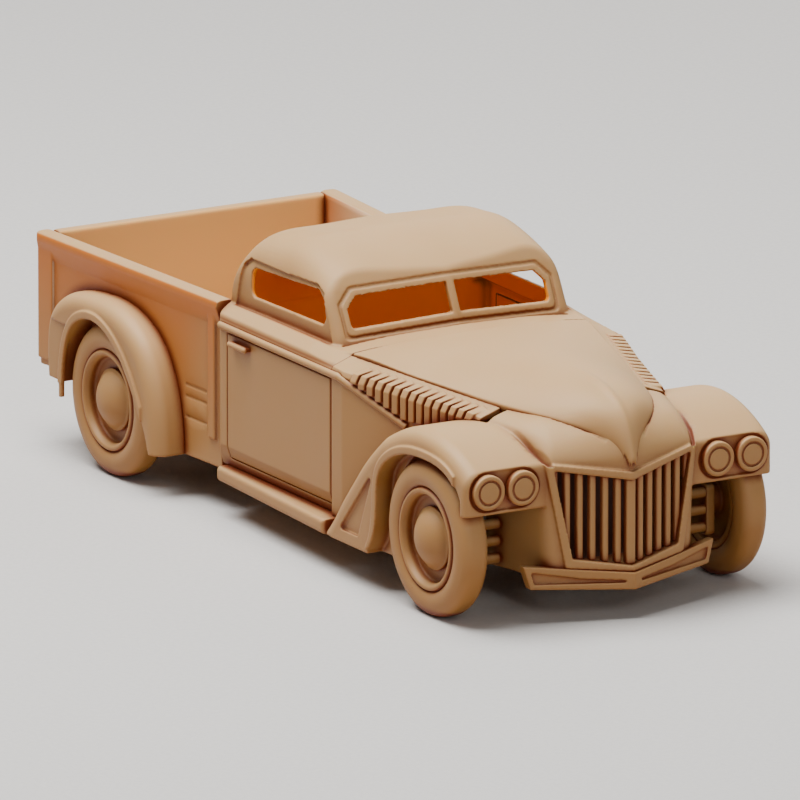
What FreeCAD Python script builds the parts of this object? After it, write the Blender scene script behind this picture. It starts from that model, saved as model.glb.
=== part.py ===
"""A resin model of a custom pickup truck at 1:24: +X forward, +Y to its left, +Z up, millimetres."""
import FreeCAD, Part
import math
import os

V = FreeCAD.Vector

# Wheels and axles
WHEELBASE = 118.5
FRONT_AXLE_X = 64.6
TYRE_RADIUS = 14.9
TYRE_WIDTH = 6.2
TYRE_SHOULDER_RADIUS = 13.3
TYRE_BORE_RADIUS = 9.9
TYRE_CROWN_INSET = 2.2
TYRE_BEAD_INSET = 0.75
RIM_LIP_RADIUS = 8.8
RIM_LIP_DEPTH = 0.4
RIM_WIDTH = 5.9
RIM_LIP_SHAPE = 0.3
DISC_THICKNESS = 1.1
HUB_RADIUS = 3.0
HUB_LENGTH = 3.0
HUB_CAP_RADIUS = 6.1
HUB_CAP_HEIGHT = 3.6
HUB_CAP_FLANGE = 0.8
STUB_RADIUS = 1.2
STUB_FIT = 0.05
FRONT_WHEEL_Y = 30.3
REAR_WHEEL_Y = 32.1
WHEEL_GAP = 0.4

# Chassis
FRAME_BOTTOM_Z = 6.2
FRAME_TOP_Z = 9.7
RAIL_INNER_Y = 11.0
RAIL_WIDTH = 3.0
FRAME_REAR_X = -80.0
FRAME_FRONT_X = 76.0
CROSS_MEMBER_WIDTH = 3.0
CROSS_MEMBER_DROP = 0.5
CROSS_MEMBERS_X = (-78.0, -66.0, -36.0, -8.0, 22.0, 52.0, 70.0)
AXLE_TUBE_RADIUS = 1.6
DIFFERENTIAL_RADIUS = 4.0
SPRING_REACH = 14.0
SPRING_DROP = 2.2
SPRING_THICKNESS = 1.2
SPRING_WIDTH = 2.5
BRACKET_LENGTH = 2.4
KNUCKLE_THICKNESS = 1.8
KNUCKLE_BOTTOM_Z = 8.6
KNUCKLE_TOP_Z = 18.4
LINK_RADIUS = 1.0
LINK_X = 67.7
LINK_INNER_Y = 19.1
LINK_HEIGHTS = (10.2, 13.6, 16.9)

# Cab
WALL = 1.4
PANEL_GAP = 0.2
SEAT_GAP = 0.05
CAB_REAR_X = -19.9
CAB_CORNER = 2.2
COWL_FRONT_X = 28.3
COWL_BEND = (26.3, 14.0)
COWL_END = (23.4, 30.0)
CAB_SIDE_Y = 30.2
FLOOR_THICKNESS = 1.3
SILL_Z = FRAME_TOP_Z
SILL_TUCK_Y = 28.7
SILL_TUCK_Z = 14.0
BELT_Z = 37.4
BELT_RADIUS = 0.8
BELT_BEND_X = 27.0
BELT_END_X = 44.0
BELT_END_Z = 30.8
BELT_ROLL = 0.6
SHELF_RISE = 2.0
LEDGE_Z = 41.0
LEDGE_Y = 27.3
DOOR_REAR_X = -15.6
DOOR_FRONT_X = 23.9
DOOR_BOTTOM_Z = 11.6
HANDLE_X = -12.6
HANDLE_LENGTH = 5.6
HANDLE_Z = 34.9
HANDLE_RADIUS = 0.6
HANDLE_STAND = 1.0
HANDLE_FOOT = 0.8
ROOF_PEAK_Z = 57.3
GLASS_BASE_X = 19.2
GLASS_BASE_Z = 45.1
GLASS_LEAN = 0.5
GLASS_SWEEP = 0.13
ROOF_EDGE = 2.4
WINDOW_POST = 1.7
WINDOW_RECESS = 0.5
WINDOW_CORNER = 1.5
BEAD_WIDTH = 1.1
GROOVE_WIDTH = 0.7
GROOVE_DEPTH = 0.35
COWL_THICKNESS = 3.0

# Hood and nose
HOOD_THICKNESS = 1.2
HOOD_SIDE_THICKNESS = 1.2
SHOULDER_DROP = 1.5
LOUVRE_COUNT = 15
LOUVRE_FIRST_X = 31.6
LOUVRE_PITCH = 2.02
LOUVRE_WIDTH = 1.4
LOUVRE_PROUD = 0.85
LOUVRE_REACH = 3.2
LOUVRE_FOOT = 0.5
SHOULDER_BEVEL = 0.9
HOOD_EDGE_DROP = 0.4
NOSE_TIP_X = 84.6
NOSE_REAR_X = 61.0
NOSE_CORNER = 2.4
NOSE_BOTTOM_Z = 8.3
NOSE_BREAK_Z = 30.4
GRILLE_BARS_A_SIDE = 6
GRILLE_BAR_PITCH = 2.38
GRILLE_BAR_WIDTH = 1.35
GRILLE_BAR_DEPTH = 1.4
GRILLE_BAR_SETBACK = 0.2
GRILLE_BAR_ROUNDING = 0.45
GRILLE_RIM_WIDTH = 1.7
GRILLE_RIM_PROUD = 0.7
RADIATOR_X = 72.0
RADIATOR_DEPTH = 3.0
RADIATOR_HALF = 13.5
RADIATOR_TOP_Z = 30.0
BUMPER_TIP_X = 86.0
BUMPER_DEPTH = 2.4
BUMPER_SWEEP = 0.285
BUMPER_BACK_Y = 20.4
SLOT_DEPTH = 0.6

# Form lines
FLANK = [(24.1, 30.2), (28.0, 30.1), (36.0, 27.6), (44.0, 25.0), (52.0, 22.8), (61.0, 20.4)]
CREASE = [(14.0, 27.5, 41.2, 42.3), (24.1, 25.6, 40.7, 42.8), (36.0, 22.7, 39.9, 43.2)]
CREASE += [(48.0, 19.5, 39.0, 43.5), (59.5, 16.1, 38.1, 43.4), (69.0, 13.0, 37.7, 42.9)]
CREASE += [(76.0, 9.4, 37.0, 41.5), (80.4, 5.8, 35.2, 39.2), (83.0, 3.1, 32.4, 35.6), (84.7, 1.0, 29.6, 30.6)]

# Fenders and lamps
FRONT_FENDER_Y = 33.4
REAR_FENDER_Y = 36.0
FENDER_ROUNDING = 3.2
FRONT_FENDER_SKIN = 1.0
REAR_FENDER_SKIN = 0.5
FENDER_DEPTH_Y = 14.0
WHEEL_ROOM = 16.4
ARCH_LIP_WIDTH = 1.6
ARCH_LIP_PROUD = 0.45
TAIL_RECESS = 0.7
SKIRT_RECESS = 0.45
LAMP_RADIUS = 3.35
LAMP_RING_RADIUS = 2.25
LAMP_DEPTH = 1.5
LAMP_OUTER_Y = 28.5
LAMP_INNER_Y = 21.2
LAMP_Z = 26.9
LAMP_POCKET = 0.55
LAMP_POCKET_ROOM = 0.5
LAMP_ROUNDING = 0.35
LAMP_GROOVE_DEPTH = 0.35
LAMP_GROOVE_HALF = 0.2
POD_FRONT_X = 79.9
POD_BOTTOM_Z = 22.0
RUNNING_BOARD_Z = 6.8
RUNNING_BOARD_FRONT_X = 26.2
RUNNING_BOARD_REAR_GAP = 1.6
RUNNING_BOARD_INNER_Y = 24.0
RUNNING_BOARD_ROUNDING = 0.8

# Load bed
BED_FRONT_X = -20.2
BED_REAR_X = -84.8
BED_WALL = 2.7
RAIL_CAP_WIDTH = 4.0
RAIL_CAP_THICKNESS = 2.0
RAIL_TOP_Z = 41.4
RAIL_REAR_Y = 33.6
RAIL_FRONT_Y = 30.0
RAIL_FLARE = 3.2
RAIL_CORNER = 1.5
RAIL_ROUNDING = 0.9
POST_PROUD = 0.7
BED_FLOOR_Z = 21.0
BED_FLOOR_THICKNESS = 1.4
BED_SKIRT_Z = 8.3
BED_SILL_DEPTH = 2.6
BED_SILLS_X = (-78.0, -36.0, -27.0)
END_WALL = 1.6
TAILGATE_THICKNESS = 1.8
TAILGATE_BEAD = 2.6

REAR_AXLE_X = FRONT_AXLE_X - WHEELBASE
MIDDLE_X = (BUMPER_TIP_X + BED_REAR_X) / 2
KNUCKLE_Y = FRONT_WHEEL_Y - HUB_LENGTH + DISC_THICKNESS / 2 - WHEEL_GAP - KNUCKLE_THICKNESS
BED_PANEL_INSET = RAIL_CAP_WIDTH - BED_WALL


def loop_face(pieces, place):
    """A face bounded by straight pieces (two points) and smooth pieces (more points), end to end."""
    edges = []
    for piece in pieces:
        corners = [place(a, b) for a, b in piece]
        if len(corners) == 2:
            edges.append(Part.makeLine(corners[0], corners[1]))
        else:
            curve = Part.BSplineCurve()
            curve.interpolate(corners)
            edges.append(curve.toShape())
    return Part.Face(Part.Wire(edges))


def closed(points):
    """The straight pieces round a list of corners."""
    return [[points[i], points[(i + 1) % len(points)]] for i in range(len(points))]


def side_prism(pieces, y_start, y_end):
    """A side-view outline in x and z, drawn out across the truck."""
    face = loop_face(pieces, lambda x, z: V(x, y_start, z))
    return face.extrude(V(0, y_end - y_start, 0))


def front_prism(pieces, x_start, x_end):
    """A front-view outline in y and z, drawn out along the truck."""
    face = loop_face(pieces, lambda y, z: V(x_start, y, z))
    return face.extrude(V(x_end - x_start, 0, 0))


def plan_prism(pieces, z_start, z_end):
    """A plan outline in x and y, drawn upwards."""
    face = loop_face(pieces, lambda x, y: V(x, y, z_start))
    return face.extrude(V(0, 0, z_end - z_start))


def block(x_start, x_end, y_start, y_end, z_start, z_end):
    return Part.makeBox(x_end - x_start, y_end - y_start, z_end - z_start, V(x_start, y_start, z_start))


def bar(start, end, radius):
    return Part.makeCylinder(radius, start.distanceToPoint(end), start, end.sub(start))


def mirrored(shape):
    """The same piece on the other side of the truck."""
    return shape.mirror(V(0, 0, 0), V(0, 1, 0))


def rounded(shape, radius, chosen):
    """Round the edges that the test picks, by their middle point."""
    edges = [edge for edge in shape.Edges if chosen(edge.CenterOfMass)]
    return shape.makeFillet(radius, edges)


def largest(shape):
    """The main piece, without the loose scraps that a cut can leave."""
    return max(shape.Solids, key=lambda solid: solid.Volume)


def blend(first, last, x_first, x_last, x):
    """A value that runs evenly from one station along the truck to another."""
    return first + (last - first) * (x - x_first) / (x_last - x_first)


def save(name, shape):
    """Write one piece, moved so that the truck's middle lies over the origin."""
    shape.translated(V(-MIDDLE_X, 0, 0)).exportStep("parts/" + name + ".step")


def turned(outline, x, y, side):
    """A half section in radius and outboard distance, turned about a wheel's axle."""
    points = [V(x, y + side * out, TYRE_RADIUS + radius) for radius, out in outline]
    face = Part.Face(Part.makePolygon(points + [points[0]]))
    return face.revolve(V(x, y, TYRE_RADIUS), V(0, 1, 0), 360)


def tyre(x, y, side):
    """A smooth tyre: flat crown, round shoulders and a sidewall that swells past the rim."""
    half = TYRE_WIDTH / 2
    place = lambda radius, out: V(x, y + side * out, TYRE_RADIUS + radius)
    crown = half - TYRE_CROWN_INSET
    bead = half - TYRE_BEAD_INSET
    wall = (TYRE_SHOULDER_RADIUS + TYRE_BORE_RADIUS) / 2
    edges = []
    for outer in (1, -1):
        shoulder = [(TYRE_RADIUS, outer * crown), (TYRE_RADIUS - 0.45, outer * (half - 1.0))]
        shoulder += [(TYRE_SHOULDER_RADIUS, outer * (half - 0.25))]
        sidewall = [shoulder[-1], (wall, outer * half), (TYRE_BORE_RADIUS + 0.3, outer * (half - 0.45))]
        edges.append(Part.Arc(*[place(*p) for p in shoulder]).toShape())
        edges.append(Part.Arc(*[place(*p) for p in sidewall]).toShape())
        edges.append(Part.makeLine(place(*sidewall[-1]), place(TYRE_BORE_RADIUS, outer * bead)))
    edges.append(Part.makeLine(place(TYRE_RADIUS, crown), place(TYRE_RADIUS, -crown)))
    edges.append(Part.makeLine(place(TYRE_BORE_RADIUS, bead), place(TYRE_BORE_RADIUS, -bead)))
    face = Part.Face(Part.Wire(Part.__sortEdges__(edges)))
    return face.revolve(V(x, y, TYRE_RADIUS), V(0, 1, 0), 360)


def rim(x, y, side):
    """A deep-dished rim: rolled outer lip, barrel, flat centre disc and a hub bored for the stub axle."""
    half = RIM_WIDTH / 2
    seat = TYRE_WIDTH / 2 - TYRE_BEAD_INSET
    disc = DISC_THICKNESS / 2
    bore = STUB_RADIUS + STUB_FIT
    barrel = RIM_LIP_RADIUS - RIM_LIP_DEPTH
    outline = [(TYRE_BORE_RADIUS, -seat), (TYRE_BORE_RADIUS, seat), (TYRE_BORE_RADIUS - 0.25, half)]
    outline += [(RIM_LIP_RADIUS + RIM_LIP_SHAPE, half + 0.1), (RIM_LIP_RADIUS, half - 0.2)]
    outline.append((barrel, half - 1.0))
    outline += [(barrel, disc), (bore, disc), (bore, disc - HUB_LENGTH), (HUB_RADIUS, disc - HUB_LENGTH)]
    outline += [(HUB_RADIUS, -disc), (barrel, -disc), (barrel, -seat)]
    return turned(outline, x, y, side)


def hub_cap(x, y, side):
    """A domed cap on a thin flange, seated on the disc."""
    seat = DISC_THICKNESS / 2
    place = lambda radius, out: V(x, y + side * out, TYRE_RADIUS + radius)
    reach = HUB_CAP_RADIUS - 0.45
    rise = HUB_CAP_HEIGHT - HUB_CAP_FLANGE
    ball = (reach ** 2 + rise ** 2) / (2 * rise)
    half_angle = math.asin(reach / ball) / 2
    middle = (ball * math.sin(half_angle), seat + HUB_CAP_HEIGHT - ball * (1 - math.cos(half_angle)))
    dome = [(reach, seat + HUB_CAP_FLANGE), middle, (0, seat + HUB_CAP_HEIGHT)]
    arc = Part.Arc(place(*dome[0]), place(*dome[1]), place(*dome[2])).toShape()
    corners = [dome[2], (0, seat + 0.4), (HUB_RADIUS, seat), (HUB_CAP_RADIUS, seat)]
    corners += [(HUB_CAP_RADIUS, seat + HUB_CAP_FLANGE), dome[0]]
    lines = [Part.makeLine(place(*corners[i]), place(*corners[i + 1])) for i in range(len(corners) - 1)]
    face = Part.Face(Part.Wire(lines + [arc]))
    return face.revolve(V(x, y, TYRE_RADIUS), V(0, 1, 0), 360)


def bumper_back(y):
    """The bumper's rear face at a distance from the middle."""
    return BUMPER_TIP_X - BUMPER_DEPTH - BUMPER_SWEEP * abs(y)


def frame_rails():
    """Two long rails, their cross members, and the two tongues that carry the bumper."""
    outer = RAIL_INNER_Y + RAIL_WIDTH
    pieces = []
    for y in (-outer, RAIL_INNER_Y):
        pieces.append(block(FRAME_REAR_X, FRAME_FRONT_X, y, y + RAIL_WIDTH, FRAME_BOTTOM_Z, FRAME_TOP_Z))
        tongue_end = bumper_back(outer) - SEAT_GAP
        tongue_top = NOSE_BOTTOM_Z - 0.3
        pieces.append(block(FRAME_FRONT_X, tongue_end, y, y + RAIL_WIDTH, FRAME_BOTTOM_Z, tongue_top))
    for x in CROSS_MEMBERS_X:
        low = FRAME_BOTTOM_Z + CROSS_MEMBER_DROP
        pieces.append(block(x, x + CROSS_MEMBER_WIDTH, -RAIL_INNER_Y, RAIL_INNER_Y, low, FRAME_TOP_Z))
    return pieces[0].fuse(pieces[1:]).removeSplitter()


def rear_axle():
    """The axle tube with its round differential housing and a stub at each end."""
    tube_end = REAR_WHEEL_Y - HUB_LENGTH + DISC_THICKNESS / 2 - WHEEL_GAP
    stub_end = REAR_WHEEL_Y + DISC_THICKNESS / 2 - SEAT_GAP
    middle = V(REAR_AXLE_X, 0, TYRE_RADIUS)
    along = V(0, 1, 0)
    tube = bar(middle - along * tube_end, middle + along * tube_end, AXLE_TUBE_RADIUS)
    stub = bar(middle - along * stub_end, middle + along * stub_end, STUB_RADIUS)
    housing = Part.makeSphere(DIFFERENTIAL_RADIUS, middle)
    return tube.fuse([stub, housing])


def rear_spring():
    """A leaf spring under the axle tube, with a bracket that joins each end to the frame rail."""
    rail = RAIL_INNER_Y + RAIL_WIDTH
    inner = rail + 1.0
    top = TYRE_RADIUS - AXLE_TUBE_RADIUS - SEAT_GAP
    low = top - SPRING_DROP
    upper = [(REAR_AXLE_X - SPRING_REACH, low), (REAR_AXLE_X, top), (REAR_AXLE_X + SPRING_REACH, low)]
    lower = [(x, z - SPRING_THICKNESS) for x, z in reversed(upper)]
    pieces = [upper, [upper[-1], lower[0]], lower, [lower[-1], upper[0]]]
    leaf = side_prism(pieces, inner, inner + SPRING_WIDTH)
    half = BRACKET_LENGTH / 2
    for x in (REAR_AXLE_X - SPRING_REACH, REAR_AXLE_X + SPRING_REACH):
        bracket = block(x - half, x + half, rail, inner + SPRING_WIDTH, FRAME_BOTTOM_Z + 0.6, low - 0.3)
        leaf = leaf.fuse(bracket)
    return leaf


def front_knuckle():
    """The upright that the front wheel's stub axle grows out of."""
    y_outer = KNUCKLE_Y + KNUCKLE_THICKNESS
    plate = block(FRONT_AXLE_X - 2.2, LINK_X + LINK_RADIUS, KNUCKLE_Y, y_outer, KNUCKLE_BOTTOM_Z, KNUCKLE_TOP_Z)
    plate = rounded(plate, 0.8, lambda p: KNUCKLE_Y + 0.1 < p.y < y_outer - 0.1)
    stub_end = FRONT_WHEEL_Y + DISC_THICKNESS / 2 - SEAT_GAP
    stub = bar(V(FRONT_AXLE_X, KNUCKLE_Y, TYRE_RADIUS), V(FRONT_AXLE_X, stub_end, TYRE_RADIUS), STUB_RADIUS)
    return plate.fuse(stub)


def suspension_links():
    """Three round links side by side, from the nose's flank to the upright."""
    links = []
    for z in LINK_HEIGHTS:
        links.append(bar(V(LINK_X, LINK_INNER_Y, z), V(LINK_X, KNUCKLE_Y, z), LINK_RADIUS))
    return Part.makeCompound(links)


def flank_y(x):
    """How far the cowl and the louvred side stand from the middle."""
    for (x_start, y_start), (x_end, y_end) in zip(FLANK, FLANK[1:]):
        if x <= x_end:
            return blend(y_start, y_end, x_start, x_end, x)
    return FLANK[-1][1]


def crease_at(x):
    """The hood's edge at a station: half width and height. Each station also has the crown's height."""
    for first, last in zip(CREASE, CREASE[1:]):
        if x <= last[0]:
            half = blend(first[1], last[1], first[0], last[0], x)
            return half, blend(first[2], last[2], first[0], last[0], x)
    return CREASE[-1][1:3]


def hood_loft(drop, depth):
    """The domed top from the cowl to the beak, as a panel whose top lies drop below the real one."""
    wires = []
    under = V(0, 0, -depth)
    for x, half, crease, crown in CREASE:
        left = V(x, half, crease - drop)
        right = V(x, -half, crease - drop)
        top = V(x, 0, crown - drop)
        upper = Part.Arc(right, top, left).toShape()
        lower = Part.Arc(left.add(under), top.add(under), right.add(under)).toShape()
        sides = [Part.makeLine(left, left.add(under)), Part.makeLine(right.add(under), right)]
        wires.append(Part.Wire([upper, sides[0], lower, sides[1]]))
    return Part.makeLoft(wires, True, False)


def greenhouse(inset):
    """The upper cab from below the belt ledge to the roof, as smooth sections along the truck."""
    stations = [(CAB_REAR_X, 26.6, 47.4), (CAB_REAR_X + 1.0, 26.6, 51.2), (-15.9, 26.5, 54.6)]
    stations += [(-10.0, 26.3, 56.6), (-2.0, 26.1, ROOF_PEAK_Z), (6.0, 26.0, 56.1)]
    stations += [(13.0, 25.9, 53.6), (19.0, 25.8, 50.0), (24.0, 25.7, 46.0)]
    wires = []
    base = LEDGE_Z - 3.0 - inset
    for x, half, top in stations:
        x += 1.1 * inset * max(0.0, 1.0 - (x - CAB_REAR_X) / 8.0)
        half -= inset
        rise = top - inset - base
        side = [(half + 0.8, base), (half + 0.1, base + rise * 0.45), (half * 0.975, base + rise * 0.7)]
        side += [(half * 0.86, base + rise * 0.9), (half * 0.5, base + rise * 0.983), (0, base + rise)]
        points = [V(x, -y, z) for y, z in side] + [V(x, y, z) for y, z in reversed(side[:-1])]
        curve = Part.BSplineCurve()
        curve.interpolate(points)
        wires.append(Part.Wire([curve.toShape(), Part.makeLine(points[-1], points[0])]))
    return Part.makeLoft(wires, True, False)


def glass_slab(shift):
    """The space ahead of the swept, leaning windshield plane, both halves."""
    halves = []
    for side in (-1, 1):
        wires = []
        for y in (0.0, 34.0):
            low = GLASS_BASE_X + shift - GLASS_SWEEP * y
            points = []
            for z in (GLASS_BASE_Z - 8.0, ROOF_PEAK_Z + 2.0):
                points.append(V(low - GLASS_LEAN * (z - GLASS_BASE_Z), side * y, z))
            points += [p.add(V(40, 0, 0)) for p in reversed(points)]
            wires.append(Part.makePolygon(points + [points[0]]))
        halves.append(Part.makeLoft(wires, True, True))
    return halves[0].fuse(halves[1])


def lower_cab(inset):
    """The cab below the ledge: tucked sill, upright side, and a ledge that falls towards the hood's side."""
    half = CAB_SIDE_Y - inset

    def section(ledge_y, ledge_z, fall):
        right = [(SILL_TUCK_Y - inset, SILL_Z + inset), (half, SILL_TUCK_Z), (half, BELT_Z + BELT_ROLL)]
        shelf_z = BELT_Z + SHELF_RISE - fall - inset * 0.3
        right += [(half - BELT_ROLL, shelf_z), (ledge_y - inset, ledge_z - inset * 0.6)]
        return [(-y, z) for y, z in right] + [(y, z) for y, z in reversed(right)]

    turn = CREASE[0][0]
    front = DOOR_FRONT_X + PANEL_GAP
    crease_y, crease_z = crease_at(front)
    level = section(LEDGE_Y, LEDGE_Z, 0.0)
    body = front_prism(closed(level), CAB_REAR_X + inset, turn)
    at_back = lambda p: p.x < CAB_REAR_X + inset + 0.01 and abs(p.y) > half - 0.01
    body = rounded(body, CAB_CORNER - inset, at_back)
    wires = []
    fallen = section(crease_y + SEAT_GAP, crease_z - HOOD_EDGE_DROP, BELT_ROLL)
    for x, points in ((turn, level), (front, fallen)):
        corners = [V(x, y, z) for y, z in points]
        wires.append(Part.makePolygon(corners + [corners[0]]))
    return body.fuse(Part.makeLoft(wires, True, True))


def door_zone(margin):
    """The space that the right door fills, up to just under the belt moulding."""
    top = BELT_Z - BELT_RADIUS - SEAT_GAP - margin
    return block(DOOR_REAR_X + margin, DOOR_FRONT_X - margin, -40, 0, DOOR_BOTTOM_Z + margin, top)


def upper_cab():
    """The greenhouse cut off at the windshield's two planes, with every edge of the cut rounded."""
    body = greenhouse(0).cut(glass_slab(0))
    return rounded(body, ROOF_EDGE, lambda p: p.x > 10 and LEDGE_Z < p.z < ROOF_PEAK_Z - 2.0)


def side_window():
    """The side window's opening, extruded right across the cab."""
    corners = [(-13.4, 43.4), (14.4, 43.6), (12.8, 47.8), (9.8, 49.8), (-13.8, 49.0)]
    return rounded(side_prism(closed(corners), -40, 40), WINDOW_CORNER, lambda p: abs(p.y) < 1)


def side_recess():
    """The sunk panel round a side window, from the ledge to under the roof's turn."""
    corners = [(-18.0, LEDGE_Z - 0.3), (-16.5, 49.2), (-14.4, 50.6), (9.6, 50.8), (12.3, 49.6), (14.6, 45.6)]
    outline = side_prism(closed(corners + [(16.9, LEDGE_Z - 0.3)]), -40, 40)
    return outline.common(greenhouse(-0.3)).cut(greenhouse(WINDOW_RECESS))


def windshield_pane(side, grow):
    """The outline of one half of the split windshield, extruded along the truck."""
    post = 0.0 if grow else WINDOW_POST / 2
    pane = [(side * post, 44.3 - grow), (side * (21.5 + grow), 43.1 - grow)]
    pane += [(side * (21.6 + grow), 46.8 + grow * 0.5), (side * (19.5 + grow * 0.5), 48.9 + grow)]
    pane += [(side * post, 49.8 + grow)]
    solid = front_prism(closed(pane), 5, 40)
    return rounded(solid, WINDOW_CORNER * 0.6, lambda p: 20 < p.x < 25 and abs(p.y) > WINDOW_POST)


def windshield_groove(side):
    """A thin groove that leaves a raised bead round one half of the windshield."""
    ring = windshield_pane(side, BEAD_WIDTH + GROOVE_WIDTH).cut(windshield_pane(side, BEAD_WIDTH))
    return ring.common(glass_slab(-GROOVE_DEPTH))


def rear_window():
    pane = [(-12, 43.5), (12, 43.5), (12, 49.0), (-12, 49.0)]
    solid = front_prism(closed(pane), CAB_REAR_X - 5, CAB_REAR_X + 8)
    return rounded(solid, WINDOW_CORNER, lambda p: CAB_REAR_X - 2 < p.x < CAB_REAR_X + 5)


def ahead_of_cowl(shift):
    """The space ahead of the bowed line that parts the cowl from the hood."""
    (bend_x, bend_y), (end_x, end_y) = COWL_BEND, COWL_END
    right = [(end_x + shift, -end_y), (bend_x + shift, -bend_y)]
    left = [(x, -y) for x, y in reversed(right)]
    bow = right + [(COWL_FRONT_X + shift, 0)] + left
    far = [(NOSE_TIP_X + 10, end_y), (NOSE_TIP_X + 10, -end_y)]
    return plan_prism([bow, [bow[-1], far[0]], far, [far[1], bow[0]]], 0, 60)


def cab_shell():
    """Roof, pillars, rear wall, sills, firewall and cowl top in one hollow shell with its windows cut."""
    under_roof = block(0, GLASS_BASE_X - 4.0, -40, 40, 30, 60)
    cowl_top = hood_loft(0, COWL_THICKNESS).cut(under_roof).cut(ahead_of_cowl(0))
    shell = lower_cab(0).fuse(upper_cab()).fuse(cowl_top)
    firewall = block(DOOR_FRONT_X - WALL, 40, -40, 40, 0, 60)
    shell = shell.cut(greenhouse(WALL).cut(glass_slab(-WALL))).cut(lower_cab(WALL).cut(firewall))
    inner_y = SILL_TUCK_Y - WALL
    shell = shell.cut(block(CAB_REAR_X + WALL, DOOR_FRONT_X - WALL, -inner_y, inner_y, 0, 20))
    shell = shell.cut(side_recess()).cut(side_window()).cut(rear_window())
    for side in (-1, 1):
        shell = shell.cut(windshield_groove(side)).cut(windshield_pane(side, 0))
    foot = hood_loft(0, WINDOW_RECESS).common(glass_slab(0)).cut(glass_slab(GROOVE_WIDTH))
    zone = door_zone(0)
    return largest(shell.cut(foot).cut(zone).cut(mirrored(zone)))


def door():
    return lower_cab(0).cut(lower_cab(WALL)).common(door_zone(PANEL_GAP))


def cab_floor():
    inner_y = SILL_TUCK_Y - WALL - SEAT_GAP
    rear = CAB_REAR_X + WALL + SEAT_GAP
    front = DOOR_FRONT_X - WALL - SEAT_GAP
    return block(rear, front, -inner_y, inner_y, FRAME_TOP_Z, FRAME_TOP_Z + FLOOR_THICKNESS)


def flank_solid(inset):
    """Everything inside the cowl and louvre walls, as a tall lump."""
    right = [(x, -y + inset) for x, y in FLANK]
    left = [(x, -y) for x, y in reversed(right)]
    return plan_prism(closed(right + left), 0, 60)


def belt_moulding():
    """A half-round bead along the belt that bends down and in to meet the front fender."""
    start = V(CAB_REAR_X + CAB_CORNER, -CAB_SIDE_Y, BELT_Z)
    bend = V(BELT_BEND_X, -CAB_SIDE_Y, BELT_Z)
    end = V(BELT_END_X, -flank_y(BELT_END_X), BELT_END_Z)
    ends = [Part.makeSphere(BELT_RADIUS, start), Part.makeSphere(BELT_RADIUS, bend)]
    bead = bar(start, bend, BELT_RADIUS).fuse(ends + [bar(bend, end, BELT_RADIUS)])
    bead = bead.cut(block(CAB_REAR_X, DOOR_FRONT_X + PANEL_GAP, -CAB_SIDE_Y, 0, 0, 60)).cut(flank_solid(0))
    return bead.cut(front_fender_form())


def door_handle():
    """A short round-ended pull on two feet."""
    y = -CAB_SIDE_Y - HANDLE_STAND
    grip = bar(V(HANDLE_X, y, HANDLE_Z), V(HANDLE_X + HANDLE_LENGTH, y, HANDLE_Z), HANDLE_RADIUS)
    pieces = []
    for x in (HANDLE_X, HANDLE_X + HANDLE_LENGTH):
        pieces.append(Part.makeSphere(HANDLE_RADIUS, V(x, y, HANDLE_Z)))
        pieces.append(bar(V(x, -CAB_SIDE_Y, HANDLE_Z), V(x, y, HANDLE_Z), HANDLE_RADIUS * HANDLE_FOOT))
    return grip.fuse(pieces)


def belt_z(x):
    """The line that parts the louvred side from the cowl side."""
    if x <= BELT_BEND_X:
        return BELT_Z
    if x >= BELT_END_X:
        return BELT_END_Z
    return blend(BELT_Z, BELT_END_Z, BELT_BEND_X, BELT_END_X, x)


def cowl_side():
    """The body wall below the belt, from the door to the nose; it is the wheel arch's inner wall too."""
    reach = block(DOOR_FRONT_X + PANEL_GAP, NOSE_REAR_X - SEAT_GAP, -40, 0, 0, 60)
    skin = flank_solid(0).cut(flank_solid(WALL)).common(reach)
    top = [(x, belt_z(x) - SEAT_GAP) for x in (DOOR_FRONT_X, BELT_BEND_X, BELT_END_X, NOSE_REAR_X)]
    return skin.common(side_prism(closed([(DOOR_FRONT_X, SILL_Z), *top, (NOSE_REAR_X, SILL_Z)]), -40, 0))


def hood_side_loft(proud):
    """The louvred wall: a slope out from the hood's edge, a shoulder, and an upright face."""
    wires = []
    for x in (DOOR_FRONT_X + PANEL_GAP, BELT_BEND_X, 28.0, 36.0, BELT_END_X, 52.0, NOSE_REAR_X - SEAT_GAP):
        half, crease = crease_at(x)
        face = flank_y(x)
        thick = HOOD_SIDE_THICKNESS
        top = crease - HOOD_EDGE_DROP
        outer = [(half + SEAT_GAP, top), (face - 0.5 + proud * 0.7, top - SHOULDER_DROP + proud * 0.6)]
        outer += [(face + proud, top - SHOULDER_DROP - SHOULDER_BEVEL), (face + proud, belt_z(x))]
        inner = [(face - thick, belt_z(x)), (face - thick, top - SHOULDER_DROP - thick)]
        inner.append((half + SEAT_GAP, top - thick))
        points = [V(x, -y, z) for y, z in outer + inner]
        wires.append(Part.makePolygon(points + [points[0]]))
    return Part.makeLoft(wires, True, True)


def hood_side():
    """The side panel under the hood's edge with its row of upright ribs."""
    panel = hood_side_loft(0)
    swollen = hood_side_loft(LOUVRE_PROUD)
    ribs = []
    for index in range(LOUVRE_COUNT):
        x = LOUVRE_FIRST_X + index * LOUVRE_PITCH
        foot = belt_z(x) + BELT_RADIUS + LOUVRE_FOOT
        reach = max(crease_at(x)[0] + 1.0, flank_y(x) - LOUVRE_REACH)
        ribs.append(swollen.common(block(x - LOUVRE_WIDTH / 2, x + LOUVRE_WIDTH / 2, -40, -reach, foot, 45)))
    return panel.fuse(ribs).cut(front_fender_form())


def hood():
    return hood_loft(0, HOOD_THICKNESS).common(ahead_of_cowl(PANEL_GAP))


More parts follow.
